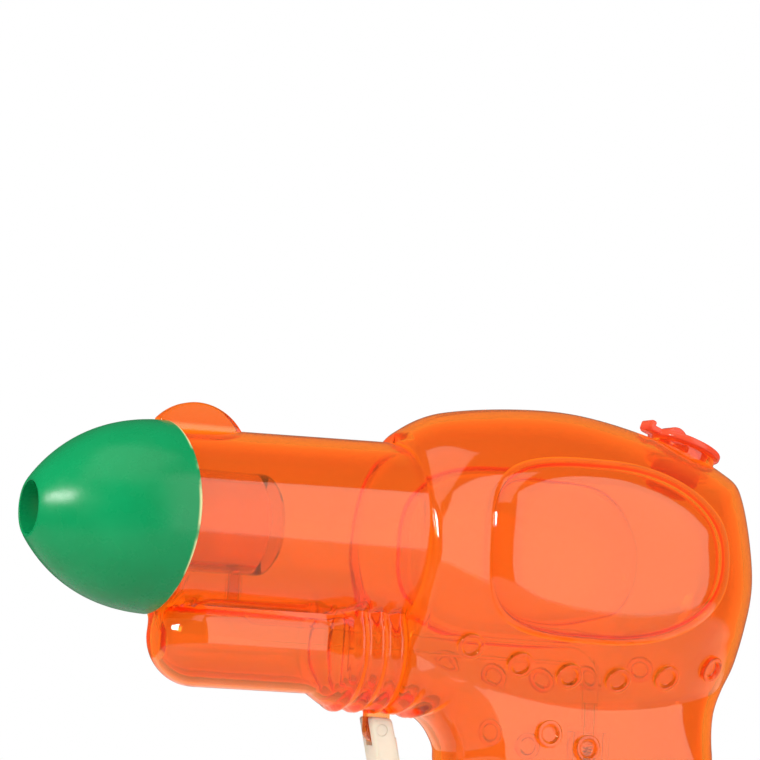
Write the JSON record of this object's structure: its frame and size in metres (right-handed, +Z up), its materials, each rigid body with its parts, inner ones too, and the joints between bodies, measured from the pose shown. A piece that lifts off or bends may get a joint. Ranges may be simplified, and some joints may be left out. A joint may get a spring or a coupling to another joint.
{
  "type": "toy water squirter",
  "caption": "Hollow clear toy water squirter with a round nose cone, a ribbed tube under the barrel, a trigger pump in the grip and a filler plug at the rear.",
  "frame": {"origin": "middle of the hand grip, on the seam plane between the two shell halves", "axes": "+X runs from the muzzle to the rear along the barrel, +Z points up, Y is across the object and the seam lies on Y = 0"},
  "size_m": [0.1688, 0.051, 0.1174],
  "materials": {
    "orange_clear": "clear, glossy",
    "green": "satin",
    "ivory": "smooth",
    "milky": "milky",
    "red_clear": "soft, glossy",
    "clear_tube": "clear, soft",
    "seal_black": "soft",
    "steel": "bright wire"
  },
  "bodies": {
    "body": {"left_shell": "orange_clear", "right_shell": "orange_clear", "nose_cone": "green", "nozzle_sleeve": "orange_clear", "sleeve_seal": "seal_black", "jet_tip": "ivory", "delivery_tube": "clear_tube", "outlet_fitting": "milky", "outlet_spring": "steel", "pump_cylinder": "milky", "pump_gland": "ivory", "return_spring": "steel", "inlet_fitting": "milky", "dip_tube": "clear_tube"},
    "trigger": {"trigger": "ivory", "trigger_pin": "ivory"},
    "plunger": {"plunger": "ivory", "plunger_seal": "seal_black"},
    "plug": {"filler_plug": "red_clear"},
    "inlet_ball": {"inlet_ball": "steel"},
    "outlet_ball": {"outlet_ball": "steel"}
  },
  "joints": [
    {"name": "trigger_pull", "type": "hinge", "parent": "body", "child": "trigger", "pos_m": [-0.0525, 0, 0.0214], "axis": [0, -1, 0], "range_deg": [0, 22], "stiffness_Nm_per_rad": 0.12, "springref_deg": -8.59},
    {"name": "plunger_stroke", "type": "slide", "parent": "body", "child": "plunger", "axis": [1, 0, 0], "range_m": [0, 0.0068], "deforming": ["return_spring"]},
    {"name": "inlet_ball_lift", "type": "slide", "parent": "body", "child": "inlet_ball", "axis": [0, 0, 1], "range_m": [0, 0.0009]},
    {"name": "outlet_ball_lift", "type": "slide", "parent": "body", "child": "outlet_ball", "axis": [0, 0, 1], "range_m": [0, 0.0009], "deforming": ["outlet_spring"]},
    {"name": "plug_pull", "type": "slide", "parent": "body", "child": "plug", "axis": [0.342, 0, 0.9397], "range_m": [0, 0.025]}
  ],
  "couplings": [
    {"joint": "plunger_stroke", "follows": "trigger_pull", "m_per_rad": 0.0177}
  ]
}
